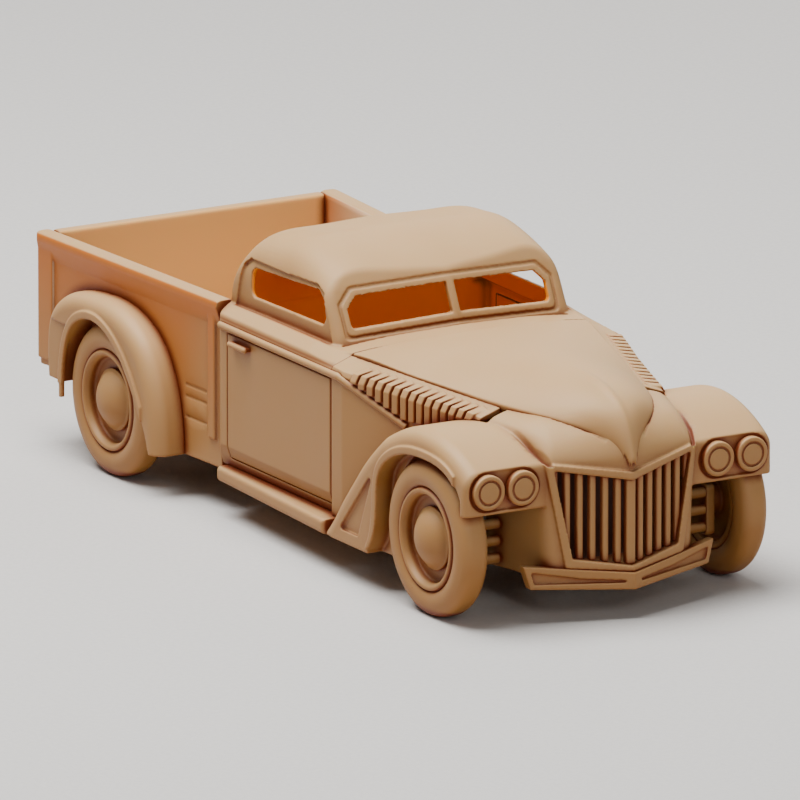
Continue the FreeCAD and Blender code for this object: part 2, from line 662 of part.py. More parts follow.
def nose_wire(z, tip, corner_x, corner_y, side_x, side_y, rear_y, inset):
    """One plan section of the nose: flat prow faces, round corners and straight sides."""
    tip -= inset
    corner_x -= inset
    corner_y -= inset * 0.3
    side_y -= inset
    rear_y -= inset
    edges = []
    for side in (-1, 1):
        front = V(tip, 0, z)
        corner = V(corner_x, side * corner_y, z)
        flank = V(side_x, side * side_y, z)
        rear = V(NOSE_REAR_X, side * rear_y, z)
        bend = Part.BezierCurve()
        turn_in = corner.add(corner.sub(front).normalize().multiply(NOSE_CORNER))
        turn_out = flank.add(flank.sub(rear).normalize().multiply(NOSE_CORNER))
        bend.setPoles([corner, turn_in, turn_out, flank])
        edges += [Part.makeLine(front, corner), bend.toShape(), Part.makeLine(flank, rear)]
    edges.append(Part.makeLine(V(NOSE_REAR_X, -rear_y, z), V(NOSE_REAR_X, rear_y, z)))
    return Part.Wire(Part.__sortEdges__(edges))


def nose_loft(inset):
    """The prow-shaped nose: straight from the apron to the grille's top, then rolling back under the hood."""
    low = (NOSE_BOTTOM_Z, NOSE_TIP_X + 0.2, 81.1, 13.4, 76.5, 16.6, 20.4)
    middle = (NOSE_BREAK_Z, NOSE_TIP_X - 0.2, 80.5, 14.8, 75.0, 17.4, 20.4)
    upper = [middle, (33.5, 83.6, 79.2, 13.6, 73.0, 17.3, 20.3), (36.0, 82.0, 76.4, 12.6, 70.0, 16.8, 19.9)]
    upper += [(37.3, 80.4, 73.6, 11.4, 67.5, 14.6, 16.6), (38.4, 78.0, 70.0, 8.6, 64.5, 10.5, 12.0)]
    upper += [(40.0, 74.0, 66.0, 6.0, 63.0, 7.0, 8.0)]
    apron = Part.makeLoft([nose_wire(*low, inset), nose_wire(*middle, inset)], True, True)
    brow = Part.makeLoft([nose_wire(*section, inset) for section in upper], True, False)
    return apron.fuse(brow)


def grille_opening(grow):
    """The grille's outline seen from the front: wide and dipped at the top, narrow at the foot."""
    right = [(0, 10.2 - grow), (11.4 + grow * 0.8, 12.2 - grow)]
    right += [(14.8 + grow, 29.4 + grow * 0.9), (0, 26.6 + grow)]
    left = [(-y, z) for y, z in reversed(right[1:3])]
    return front_prism(closed(right + left), 70, 95)


def grille_shell():
    """The hollow nose under the hood's beak, open behind, with the grille's opening cut in its prow."""
    above = hood_loft(-20, 20 + HOOD_THICKNESS + SEAT_GAP).common(block(NOSE_REAR_X - 1, 82.0, -30, 30, 20, 70))
    cavity = nose_loft(WALL).fuse(block(50, NOSE_REAR_X + 3.0, -30, 30, 0, 60))
    return nose_loft(0).cut(above).cut(cavity).cut(grille_opening(0))


def grille_rim():
    """The raised frame round the grille, laid on the nose's two flat faces."""
    ring = grille_opening(GRILLE_RIM_WIDTH).cut(grille_opening(0))
    return nose_loft(-GRILLE_RIM_PROUD).cut(nose_loft(0)).common(ring).cut(bumper_form())


def radiator():
    """A plain block behind the bars, standing on the frame rails."""
    back = RADIATOR_X + RADIATOR_DEPTH
    return block(RADIATOR_X, back, -RADIATOR_HALF, RADIATOR_HALF, FRAME_TOP_Z, RADIATOR_TOP_Z)


def grille_bars():
    """Upright bars across the opening: a wide one on the prow's edge and a row each side."""
    bars = []
    sweep = (NOSE_TIP_X - 80.8) / 14.0
    for index in range(-GRILLE_BARS_A_SIDE, GRILLE_BARS_A_SIDE + 1):
        y = index * GRILLE_BAR_PITCH
        half = GRILLE_BAR_WIDTH * (0.75 if index == 0 else 0.5)
        front = NOSE_TIP_X - sweep * abs(y) - GRILLE_BAR_SETBACK
        strip = block(front - GRILLE_BAR_DEPTH, front, y - half, y + half, 5, 35)
        strip = rounded(strip, GRILLE_BAR_ROUNDING, lambda p: p.x > front - 0.01 and 10 < p.z < 30)
        bars += strip.common(grille_opening(-0.02)).Solids
    return Part.makeCompound(bars)


def bumper_form():
    """The low prow-shaped valance before its slots are cut."""
    end_x = BUMPER_TIP_X - 6.3
    back = bumper_back(BUMPER_BACK_Y)
    plan = [(BUMPER_TIP_X, 0), (end_x, 20.8), (back, BUMPER_BACK_Y), (BUMPER_TIP_X - BUMPER_DEPTH, 0)]
    plan += [(back, -BUMPER_BACK_Y), (end_x, -20.8)]
    face = [(0, 5.7), (19.3, 6.8), (20.7, 11.4), (0, 9.0), (-20.7, 11.4), (-19.3, 6.8)]
    return plan_prism(closed(plan), 0, 20).common(front_prism(closed(face), 60, 95))


def bumper():
    """The valance with a long slot on each side that tapers towards the middle."""
    form = bumper_form().cut(nose_loft(0))
    kept = bumper_form().translated(V(-SLOT_DEPTH, 0, 0))
    for side in (-1, 1):
        slot = [(18.6, 7.8), (19.2, 10.1), (10.0, 8.4), (1.6, 7.6), (1.6, 7.2)]
        slot = closed([(side * y, z) for y, z in slot])
        form = form.cut(front_prism(slot, 60, 95).cut(kept))
    return form


def front_fender_form():
    """The right front fender as a solid lump: swept tail, high crown and rounded shoulder."""
    tail = [(26.4, 8.6), (29.2, 11.7), (32.2, 15.5), (36.0, 19.8), (39.8, 24.0), (43.6, 27.5), (47.6, 30.7)]
    crown = [tail[-1], (52.0, 32.9), (57.7, 34.9), (63.7, 35.6), (69.7, 34.9), (75.0, 33.2)]
    crown.append((POD_FRONT_X, 30.6))
    pieces = [tail, crown, [crown[-1], (POD_FRONT_X, POD_BOTTOM_Z)], [(POD_FRONT_X, POD_BOTTOM_Z), (74.0, 7.2)]]
    pieces += [[(74.0, 7.2), (25.9, 7.2)], [(25.9, 7.2), tail[0]]]
    lump = side_prism(pieces, -FRONT_FENDER_Y, -FENDER_DEPTH_Y)
    on_face = lambda p: p.y < -FRONT_FENDER_Y + 0.01
    on_top = lambda p: p.z > 31 or (p.z > 10 and 27 < p.x < 46)
    lump = rounded(lump, FENDER_ROUNDING, lambda p: on_face(p) and on_top(p))
    return rounded(lump, 1.4, lambda p: p.x > POD_FRONT_X - 0.6 and p.z > 23)


def arch_face(points, axle_x, grow, y):
    """A wheel opening down to the ground, its curve moved outwards from the axle by a margin."""
    curve = []
    for x, z in points:
        reach = math.hypot(x - axle_x, z - TYRE_RADIUS)
        curve.append((x + grow * (x - axle_x) / reach, z + grow * (z - TYRE_RADIUS) / reach))
    foot = [(curve[-1][0], 0), (curve[0][0], 0)]
    return loop_face([[foot[1], curve[0]], curve, [curve[-1], foot[0]], foot], lambda x, z: V(x, y, z))


def front_arch(grow):
    """The front wheel opening: squarish at the back, low towards the lamps."""
    arch = [(43.5, 7.9), (47.0, 16.3), (48.2, 24.0), (53.7, 28.5), (64.6, 30.5), (74.7, 28.6), (78.0, 25.2)]
    return arch_face(arch, FRONT_AXLE_X, grow, -40)


def front_fender():
    """A hollow pontoon with its wheel opening, raised lip, lamp pod and framed tail."""
    lump = front_fender_form()
    lip = front_arch(ARCH_LIP_WIDTH).extrude(V(0, 40 - FRONT_FENDER_Y + 1.0, 0))
    lip = lip.common(lump.translated(V(0, -ARCH_LIP_PROUD, 0))).common(block(43, 76, -40, -30, 7.9, 40))
    skin = FRONT_FENDER_SKIN - FRONT_FENDER_Y
    axle = V(FRONT_AXLE_X, 0, TYRE_RADIUS)
    room = bar(axle + V(0, skin, 0), axle - V(0, FENDER_DEPTH_Y, 0), WHEEL_ROOM)
    below = block(FRONT_AXLE_X - WHEEL_ROOM, FRONT_AXLE_X + 12.5, skin, -FENDER_DEPTH_Y, 0, TYRE_RADIUS)
    fender = lump.fuse(lip).cut(front_arch(0).extrude(V(0, 10.0, 0))).cut(room).cut(below)
    fender = fender.cut(nose_loft(0)).cut(flank_solid(0)).cut(block(70, 90, -40, 0, 0, POD_BOTTOM_Z + 0.4))
    fender = fender.cut(block(0, DOOR_FRONT_X + 5.0, -CAB_SIDE_Y, 0, 0, 60))
    triangle = side_prism(closed([(45.6, 24.0), (32.6, 9.6), (39.6, 9.6)]), -40, -FRONT_FENDER_Y + TAIL_RECESS)
    fender = fender.cut(rounded(triangle, 0.5, lambda p: -39 < p.y < -34))
    back = POD_FRONT_X - LAMP_POCKET
    hole = LAMP_RADIUS + LAMP_POCKET_ROOM
    pocket = block(back, 90, -LAMP_OUTER_Y, -LAMP_INNER_Y, LAMP_Z - hole, LAMP_Z + hole)
    for y in (-LAMP_OUTER_Y, -LAMP_INNER_Y):
        pocket = pocket.fuse(bar(V(back, y, LAMP_Z), V(90, y, LAMP_Z), hole))
    fender = fender.cut(pocket).cut(grille_rim())
    return largest(fender)


def headlamps():
    """Two round lamps in their pocket, each a ring round a flat lens."""
    lamps = []
    back = POD_FRONT_X - LAMP_POCKET
    front = back + LAMP_DEPTH
    for y in (-LAMP_OUTER_Y, -LAMP_INNER_Y):
        body = bar(V(back, y, LAMP_Z), V(front, y, LAMP_Z), LAMP_RADIUS)
        body = rounded(body, LAMP_ROUNDING, lambda p: p.x > front - 0.01)
        floor = V(front - LAMP_GROOVE_DEPTH, y, LAMP_Z)
        groove = bar(floor, V(front + 1, y, LAMP_Z), LAMP_RING_RADIUS + LAMP_GROOVE_HALF)
        lens = bar(floor - V(0.01, 0, 0), V(front - SEAT_GAP, y, LAMP_Z), LAMP_RING_RADIUS - LAMP_GROOVE_HALF)
        lamps.append(body.cut(groove).fuse(lens))
    return Part.makeCompound(lamps)


def running_board():
    """The step along the sill, a little wider at the front, with a soft outer edge."""
    rear = CAB_REAR_X + RUNNING_BOARD_REAR_GAP
    front = RUNNING_BOARD_FRONT_X
    plan = [(rear, -31.0), (front, -33.3), (front, -RUNNING_BOARD_INNER_Y), (rear, -RUNNING_BOARD_INNER_Y)]
    board = plan_prism(closed(plan), RUNNING_BOARD_Z, FRAME_TOP_Z)
    board = rounded(board, RUNNING_BOARD_ROUNDING, lambda p: p.y < -31.5)
    return board.cut(front_fender_form())


def bed_y(x, inset):
    """The tapering bed side, measured in from the rail's outer edge."""
    return blend(RAIL_FRONT_Y, RAIL_REAR_Y, BED_FRONT_X, BED_REAR_X, x) - inset


def bed_side():
    """One bed wall with its flared top rail, end posts, and the cut that clears the wheel."""
    wires = []
    under = RAIL_TOP_Z - RAIL_CAP_THICKNESS
    for x in (BED_FRONT_X, BED_REAR_X):
        rail = bed_y(x, 0)
        panel = bed_y(x, BED_PANEL_INSET)
        inner = bed_y(x, RAIL_CAP_WIDTH)
        section = [(inner, BED_SKIRT_Z), (panel, BED_SKIRT_Z), (panel, under - RAIL_FLARE)]
        section += [(rail - 0.3, under - 0.2), (rail, under + 0.5), (rail, RAIL_TOP_Z), (inner, RAIL_TOP_Z)]
        points = [V(x, -y, z) for y, z in section]
        wires.append(Part.makePolygon(points + [points[0]]))
    side = Part.makeLoft(wires, True, True)
    along_top = lambda p: p.z > RAIL_TOP_Z - 0.01 and BED_REAR_X + 1 < p.x < BED_FRONT_X - 1
    side = rounded(side, RAIL_ROUNDING, along_top)
    for x_start, x_end, low in ((BED_REAR_X, BED_REAR_X + 5.4, 16.4), (-24.4, -21.8, 13.7)):
        proud = BED_PANEL_INSET - POST_PROUD
        outer = [(x_start, -bed_y(x_start, proud)), (x_end, -bed_y(x_end, proud))]
        plan = outer + [(x_end, -bed_y(x_end, 3)), (x_start, -bed_y(x_start, 3))]
        post = plan_prism(closed(plan), low, under - 0.6)
        upright = lambda p: p.y < -bed_y(p.x, proud + 0.05) and low + 1 < p.z < under - 1
        side = side.fuse(rounded(post, 0.5, upright))
    axle = V(REAR_AXLE_X, 0, TYRE_RADIUS)
    room = bar(axle - V(0, 40, 0), axle - V(0, REAR_WHEEL_Y - TYRE_WIDTH / 2 - 0.45, 0), WHEEL_ROOM - 0.6)
    through = bar(axle - V(0, 40, 0), axle - V(0, 20, 0), WHEEL_ROOM - 0.6)
    through = through.common(block(-90, 0, -50, 0, 0, BED_FLOOR_Z - BED_FLOOR_THICKNESS))
    below = block(REAR_AXLE_X - WHEEL_ROOM + 0.6, REAR_AXLE_X + WHEEL_ROOM - 0.6, -50, 0, 0, TYRE_RADIUS)
    tail = block(BED_REAR_X - 1, REAR_AXLE_X - WHEEL_ROOM, -50, 0, 0, 15.0)
    side = side.cut(room).cut(through).cut(below).cut(tail)
    x = BED_REAR_X + RAIL_CORNER
    y = RAIL_CORNER - bed_y(BED_REAR_X, 0)
    corner = block(BED_REAR_X - 1, x, y - RAIL_CORNER - 1, y, 0, 60)
    return side.cut(corner.cut(bar(V(x, y, 0), V(x, y, 60), RAIL_CORNER)))


def bed_floor():
    """The load floor on three sills, whose legs stand on the frame rails."""
    rear = BED_REAR_X + TAILGATE_BEAD + SEAT_GAP
    front = BED_FRONT_X - END_WALL - SEAT_GAP
    inset = RAIL_CAP_WIDTH + SEAT_GAP
    right = [(front, -bed_y(front, inset)), (rear, -bed_y(rear, inset))]
    plan = right + [(x, -y) for x, y in reversed(right)]
    under = BED_FLOOR_Z - BED_FLOOR_THICKNESS
    pieces = [plan_prism(closed(plan), under, BED_FLOOR_Z)]
    outer = RAIL_INNER_Y + RAIL_WIDTH
    sill_z = under - BED_SILL_DEPTH
    for x in BED_SILLS_X:
        pieces.append(block(x, x + CROSS_MEMBER_WIDTH, -outer, outer, sill_z, under))
        for y in (-outer, RAIL_INNER_Y):
            pieces.append(block(x, x + CROSS_MEMBER_WIDTH, y, y + RAIL_WIDTH, FRAME_TOP_Z, sill_z))
    return pieces[0].fuse(pieces[1:]).removeSplitter()


def bed_front_wall():
    half = bed_y(BED_FRONT_X, RAIL_CAP_WIDTH + SEAT_GAP)
    wall = block(BED_FRONT_X - END_WALL, BED_FRONT_X, -half, half, FRAME_TOP_Z + 2.0, RAIL_TOP_Z - 0.6)
    return rounded(wall, 0.4, lambda p: p.z > RAIL_TOP_Z - 0.7 and abs(p.y) < 1)


def tailgate():
    """The tailgate panel with a round bead along its top."""
    face = BED_REAR_X + TAILGATE_BEAD
    half = bed_y(face, RAIL_CAP_WIDTH + SEAT_GAP)
    panel = block(face - TAILGATE_THICKNESS, face, -half, half, 16.4, RAIL_TOP_Z - 1.0)
    bead = block(BED_REAR_X, face, -half, half, RAIL_TOP_Z - RAIL_CAP_THICKNESS, RAIL_TOP_Z)
    bead = rounded(bead, 0.8, lambda p: abs(p.y) < 1 and (p.x < face - 0.1 or p.z > RAIL_TOP_Z - 0.1))
    return panel.fuse(bead)


def rear_fender_form():
    """The right rear fender as a solid lump standing off the bed side."""
    rear = [(-77.0, 14.9), (-77.2, 23.0), (-75.6, 28.2), (-71.6, 31.6), (-65.4, 33.7), (-58.0, 34.4)]
    front = [rear[-1], (-51.0, 34.0), (-45.2, 32.2), (-40.1, 28.8), (-36.5, 24.0), (-34.2, 18.0), (-33.2, 12.0)]
    front.append((-33.0, 8.3))
    foot = [front[-1], (-38.0, 8.3), (-66.0, 12.2), (-70.2, 12.2), (-70.2, 14.9), rear[0]]
    pieces = [rear, front] + [list(edge) for edge in zip(foot, foot[1:])]
    lump = side_prism(pieces, -REAR_FENDER_Y, -26.0)
    on_face = lambda p: p.y < -REAR_FENDER_Y + 0.01
    return rounded(lump, FENDER_ROUNDING, lambda p: on_face(p) and (p.z > 27 or (p.z > 9 and p.x > -37)))


def rear_arch(grow):
    """The rear wheel opening, drawn back at its top as if by speed."""
    arch = [(-36.2, 8.3), (-37.3, 11.6), (-41.2, 18.6), (-46.4, 24.8), (-53.4, 29.3)]
    arch += [(-59.4, 29.9), (-65.3, 27.2), (-68.4, 21.0), (-69.2, 12.0)]
    return arch_face(arch, REAR_AXLE_X, grow, -44)


def rear_fender():
    """A hollow fender on the bed side with a raised arch lip and a stepped rear skirt."""
    form = rear_fender_form()
    lip = rear_arch(ARCH_LIP_WIDTH).extrude(V(0, 44 - REAR_FENDER_Y + 1.0, 0))
    lip = lip.common(form.translated(V(0, -ARCH_LIP_PROUD, 0))).common(block(-72, -38.5, -44, -30, 12.2, 40))
    skirt = block(-80, -66, -40, SKIRT_RECESS - REAR_FENDER_Y, 0, 26.8)
    skin = REAR_FENDER_SKIN - REAR_FENDER_Y
    room = bar(V(REAR_AXLE_X, skin, TYRE_RADIUS), V(REAR_AXLE_X, -20, TYRE_RADIUS), WHEEL_ROOM)
    below = block(REAR_AXLE_X - WHEEL_ROOM, REAR_AXLE_X + WHEEL_ROOM, skin, -20, 0, TYRE_RADIUS)
    opening = rear_arch(0).extrude(V(0, 14.0, 0))
    inside = [(x, -bed_y(x, BED_PANEL_INSET)) for x in (BED_FRONT_X, BED_REAR_X)]
    inside += [(BED_REAR_X, 0), (BED_FRONT_X, 0)]
    fender = form.cut(skirt).fuse(lip).cut(opening).cut(room).cut(below).cut(plan_prism(closed(inside), 0, 60))
    return largest(fender)


def build():
    os.makedirs("parts", exist_ok=True)
    for end, x, reach in (("front", FRONT_AXLE_X, FRONT_WHEEL_Y), ("rear", REAR_AXLE_X, REAR_WHEEL_Y)):
        for hand, side in (("right", -1), ("left", 1)):
            place = end + "_" + hand
            save("tyre_" + place, tyre(x, side * reach, side))
            save("rim_" + place, rim(x, side * reach, side))
            save("hub_cap_" + place, hub_cap(x, side * reach, side))
    singles = [frame_rails, rear_axle, cab_shell, cab_floor, hood, grille_shell, grille_rim, grille_bars]
    singles += [radiator, bumper, bed_floor, bed_front_wall, tailgate]
    for maker in singles:
        save(maker.__name__, maker())
    right_hand = [door, door_handle, belt_moulding, cowl_side, hood_side, front_fender, headlamps]
    right_hand += [running_board, bed_side, rear_fender]
    for maker in right_hand:
        piece = maker()
        save(maker.__name__ + "_right", piece)
        save(maker.__name__ + "_left", mirrored(piece))
    for maker in (rear_spring, front_knuckle, suspension_links):
        piece = maker()
        save(maker.__name__ + "_left", piece)
        save(maker.__name__ + "_right", mirrored(piece))


build()
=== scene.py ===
import math

import bmesh
import bpy
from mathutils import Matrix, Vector


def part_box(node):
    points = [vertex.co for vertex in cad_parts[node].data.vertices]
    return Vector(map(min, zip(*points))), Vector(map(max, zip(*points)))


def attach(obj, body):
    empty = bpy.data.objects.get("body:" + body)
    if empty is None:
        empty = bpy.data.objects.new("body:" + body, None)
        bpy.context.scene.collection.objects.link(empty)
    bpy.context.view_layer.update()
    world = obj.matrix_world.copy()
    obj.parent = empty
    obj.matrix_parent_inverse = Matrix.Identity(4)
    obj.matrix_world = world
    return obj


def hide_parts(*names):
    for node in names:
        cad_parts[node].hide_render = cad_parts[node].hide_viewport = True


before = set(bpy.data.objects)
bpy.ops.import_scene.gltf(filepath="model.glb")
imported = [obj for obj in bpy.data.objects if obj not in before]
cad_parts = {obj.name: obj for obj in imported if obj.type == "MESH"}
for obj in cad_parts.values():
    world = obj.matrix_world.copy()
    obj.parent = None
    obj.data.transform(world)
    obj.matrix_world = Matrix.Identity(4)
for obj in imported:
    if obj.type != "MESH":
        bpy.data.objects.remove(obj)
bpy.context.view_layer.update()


# The model stands on a pale sheet of card that runs off on every side. It is seen from in front of its
# right headlamps through a very long lens, so that its far wheels look almost as large as its near ones.
MM = 0.001
LENS_LENGTH, FILM_WIDTH = 1000.0, 36.0
VIEW_AZIMUTH = math.radians(60.03)
VIEW_HEIGHT = math.radians(14.77)
VIEW_DISTANCE = 4.222
VIEW_TARGET = Vector((-2.8, 0.0, 22.22)) * MM


def long_lens():
    """A camera more than four metres away, so that it sees almost no perspective."""
    lens = bpy.data.cameras.new("long_lens")
    lens.type, lens.lens, lens.sensor_width = "PERSP", LENS_LENGTH, FILM_WIDTH
    lens.clip_start, lens.clip_end = 0.5, 60.0
    camera = bpy.data.objects.new("long_lens", lens)
    bpy.context.scene.collection.objects.link(camera)
    flat = math.cos(VIEW_HEIGHT)
    way = Vector((math.sin(VIEW_AZIMUTH) * flat, -math.cos(VIEW_AZIMUTH) * flat, math.sin(VIEW_HEIGHT)))
    camera.location = VIEW_TARGET + way * VIEW_DISTANCE
    camera.rotation_euler = way.to_track_quat("Z", "Y").to_euler()
    bpy.context.scene.camera = camera


def soft_lamp(name, place, size, watts, tint):
    """A square softbox that faces the middle of the model, its place and size in metres."""
    light = bpy.data.lights.new(name, "AREA")
    light.shape, light.size, light.energy, light.color = "SQUARE", size, watts, tint
    lamp = bpy.data.objects.new(name, light)
    bpy.context.scene.collection.objects.link(lamp)
    lamp.location = Vector(place)
    lamp.rotation_euler = (lamp.location - VIEW_TARGET).to_track_quat("Z", "Y").to_euler()


long_lens()
soft_lamp("overhead_box", (-0.10, -0.16, 0.75), 0.55, 11.8, (1.0, 0.97, 0.93))
soft_lamp("front_box", (0.75, -0.10, 0.34), 0.40, 1.3, (1.0, 0.96, 0.91))
soft_lamp("rear_box", (-0.55, 0.55, 0.40), 0.50, 1.6, (1.0, 0.93, 0.86))

world = bpy.data.worlds.new("pale_room")
world.use_nodes = True
world.node_tree.nodes["Background"].inputs["Color"].default_value = (0.80, 0.79, 0.78, 1.0)
world.node_tree.nodes["Background"].inputs["Strength"].default_value = 0.16
bpy.context.scene.world = world


# The card is plain and matt, with only the faint tooth of paper in its surface. It lies flat and is far
# larger than the model, so that none of its edges show.
class Wire:
    """An output socket that takes part in Python sums: each sum or product adds its Math node."""

    def __init__(self, tree, socket):
        self.tree, self.socket = tree, socket

    def node(self, kind, settings, inputs, output=0):
        """Adds any node: its settings first, then the values or links of its sockets."""
        made = self.tree.nodes.new(kind)
        for name, value in settings.items():
            if name == "stops":
                for stop, (place, shade) in zip(made.color_ramp.elements, value):
                    stop.position, stop.color = place, (shade, shade, shade, 1.0)
            else:
                setattr(made, name, value)
        for name, value in inputs.items():
            if isinstance(value, Wire):
                self.tree.links.new(value.socket, made.inputs[name])
            else:
                made.inputs[name].default_value = value
        return Wire(self.tree, made.outputs[output])

    def maths(self, operation, *values, clamp=False):
        settings = {"operation": operation, "use_clamp": clamp}
        return self.node("ShaderNodeMath", settings, dict(enumerate(values)))

    def __add__(self, other):
        return self.maths("ADD", self, other)

    __radd__ = __add__

    def __sub__(self, other):
        return self.maths("SUBTRACT", self, other)

    def __rsub__(self, other):
        return self.maths("SUBTRACT", other, self)

    def __mul__(self, other):
        return self.maths("MULTIPLY", self, other)

    __rmul__ = __mul__

    def __truediv__(self, other):
        return self.maths("DIVIDE", self, other)

    def __abs__(self):
        return self.maths("ABSOLUTE", self)

    def clamp(self):
        return self.maths("ADD", self, 0.0, clamp=True)

    def clear(self, low, high):
        """A mask that grows evenly from 0 at low to 1 at high."""
        return self.maths("MULTIPLY", self - low, 1.0 / (high - low), clamp=True)

    def between(self, low, high):
        """The same for a place, with both ends in millimetres."""
        return self.clear(low * MM, high * MM)

    def tint(self, share, first, other):
        """A colour, with a share of another colour mixed in."""
        settings = {"data_type": "RGBA", "blend_type": "MIX"}
        return self.node("ShaderNodeMix", settings, {0: share, 6: first, 7: other}, output=2)

    def vector(self, operation, first, second, output=0):
        inputs = {0: first, 1: second}
        return self.node("ShaderNodeVectorMath", {"operation": operation}, inputs, output=output)

    def openness(self, reach):
        """How open a face is: 0 in a deep corner, 1 where nothing stands within reach, in millimetres."""
        return self.node("ShaderNodeAmbientOcclusion", {"samples": 8}, {"Distance": reach * MM}, output="AO")

    def noise(self, places, scale, detail=2.0):
        inputs = {"Vector": places, "Scale": scale, "Detail": detail, "Roughness": 0.55}
        return self.node("ShaderNodeTexNoise", {}, inputs)

    def part(self, axis):
        """One coordinate of a place."""
        return self.node("ShaderNodeSeparateXYZ", {}, {"Vector": self}, output="XYZ".index(axis))


def new_material(name, roughness, specular=0.5):
    """An empty principled material, with the two things that every finish here starts from."""
    material = bpy.data.materials.new(name)
    material.use_nodes = True
    shader = material.node_tree.nodes["Principled BSDF"]
    shader.inputs["Roughness"].default_value = roughness
    shader.inputs["Specular IOR Level"].default_value = specular
    maker = Wire(material.node_tree, None)
    places = maker.node("ShaderNodeTexCoord", {}, {}, output="Object")
    return material, shader, maker, places


def feed(shader, **sockets):
    """Links finished wires to the shader's sockets, named with _ for a space."""
    for name, wire in sockets.items():
        wire.tree.links.new(wire.socket, shader.inputs[name.replace("_", " ")])


def card():
    """The sheet itself, with its pale paper."""
    material, shader, maker, places = new_material("pale_card", 0.85, 0.25)
    tooth = maker.noise(places, 900.0)
    shade = maker.node("ShaderNodeValToRGB", {"stops": ((0.3, 0.70), (0.7, 0.74))}, {"Fac": tooth})
    feed(shader, Base_Color=shade)
    shape = bmesh.new()
    bmesh.ops.create_grid(shape, x_segments=1, y_segments=1, size=6.0)
    mesh = bpy.data.meshes.new("pale_card")
    shape.to_mesh(mesh)
    shape.free()
    floor = bpy.data.objects.new("pale_card", mesh)
    bpy.context.scene.collection.objects.link(floor)
    mesh.materials.append(material)


card()


# The chassis is two rails with cross members, an axle and leaf springs, cast in the model's tan resin. It is
# darkened all over with painted shade, and red-brown painted shade lies in its corners.
RESIN_LIT = (0.62, 0.385, 0.178, 1.0)
RESIN_WORN = (0.68, 0.46, 0.245, 1.0)
# RESIN_SHADE is painted shade: on faces that turn sideways or down, in nooks, and laid evenly where castings
# are darkened.
RESIN_SHADE = (0.30, 0.125, 0.025, 1.0)
# Red-brown painted shade for creases, hollows and the groove above the belt bead.
RESIN_CREASE_SHADE = (0.17, 0.024, 0.003, 1.0)
WORN_PATCHES, WORN_SHARE = (0.40, 0.85), 0.30
UPWARD, SHADE_RUN = 0.75, 0.98
OPEN_AIR, NOOK_FULL, CREASE_SHADE_FULL, CREASE_SHADE_SHARE = 0.95, 0.70, 0.34, 0.95
TURNED_INWARD = (0.05, 0.30)


def resin(name, crease_shade_reach=2.4, nook_reach=9.0, painted_shade=0.0, rooms=(), painted_light_and_shade=None, glow=0.0):
    """Tan cast resin, paler on its upper faces and in random worn patches. Painted shade makes it darker and
    warmer on faces that turn sideways or down, darker in its nooks and red-brown in its creases and hollows.

    Each room is a point in millimetres, a colour and a share: faces that look towards it take that colour, as
    painted light or painted shade. Painted light and shade, from the places and the way that the faces look,
    gives shares with the colour of each. A glow is the light that thin walls let through into the rooms. An
    even share of painted shade darkens every face alike."""
    material, shader, maker, places = new_material(name, 0.5, 0.35)
    facing = maker.node("ShaderNodeNewGeometry", {}, {}, output="Normal")
    hollow, nook = maker.openness(crease_shade_reach), maker.openness(nook_reach)
    cloud = maker.noise(places, 90.0, 3.0)
    speck = maker.noise(places, 2600.0, 2.0)
    colour = maker.tint(cloud.clear(*WORN_PATCHES) * WORN_SHARE, RESIN_LIT, RESIN_WORN)
    # Painted shade: faces that turn sideways or down take the shaded colour, and an even share of painted
    # shade lies over the whole casting.
    below = (UPWARD - facing.part("Z")).clear(0.0, SHADE_RUN)
    colour = maker.tint(painted_shade + below * (1.0 - painted_shade), colour, RESIN_SHADE)
    # Painted shade in nooks, where nearby parts shut out the light, deeper on faces that turn down.
    nook_shade = (OPEN_AIR - nook).clear(0.0, NOOK_FULL)
    colour = maker.tint(nook_shade * (0.30 + 0.60 * below), colour, RESIN_SHADE)
    for point, tone, share in rooms:
        way = maker.vector("SUBTRACT", [value * MM for value in point], places)
        way = maker.vector("NORMALIZE", way, (0.0, 0.0, 0.0))
        inside = maker.vector("DOT_PRODUCT", way, facing, output=1).clear(*TURNED_INWARD)
        colour = maker.tint(inside * share, colour, tone)
        if glow:
            feed(shader, Emission_Color=maker.tint(inside, (0.0, 0.0, 0.0, 1.0), tone))
            shader.inputs["Emission Strength"].default_value = glow
    for share, tone in painted_light_and_shade(places, facing) if painted_light_and_shade else ():
        colour = maker.tint(share, colour, tone)
    # Red-brown painted shade in creases and hollows, where shade falls.
    crease_shade = (OPEN_AIR - hollow).clear(0.0, CREASE_SHADE_FULL)
    colour = maker.tint(crease_shade * CREASE_SHADE_SHARE, colour, RESIN_CREASE_SHADE)
    height = speck * 0.022 + cloud * 0.014
    bump = maker.node("ShaderNodeBump", {}, {"Strength": 0.35, "Distance": 0.12 * MM, "Height": height})
    feed(shader, Base_Color=colour, Roughness=0.42 + 0.18 * cloud + 0.05 * crease_shade, Normal=bump)
    shader.inputs["Subsurface Weight"].default_value = 0.2
    shader.inputs["Subsurface Radius"].default_value = (1.0, 0.35, 0.12)
    shader.inputs["Subsurface Scale"].default_value = 1.2 * MM
    return material


SAME_POINT = 0.0005


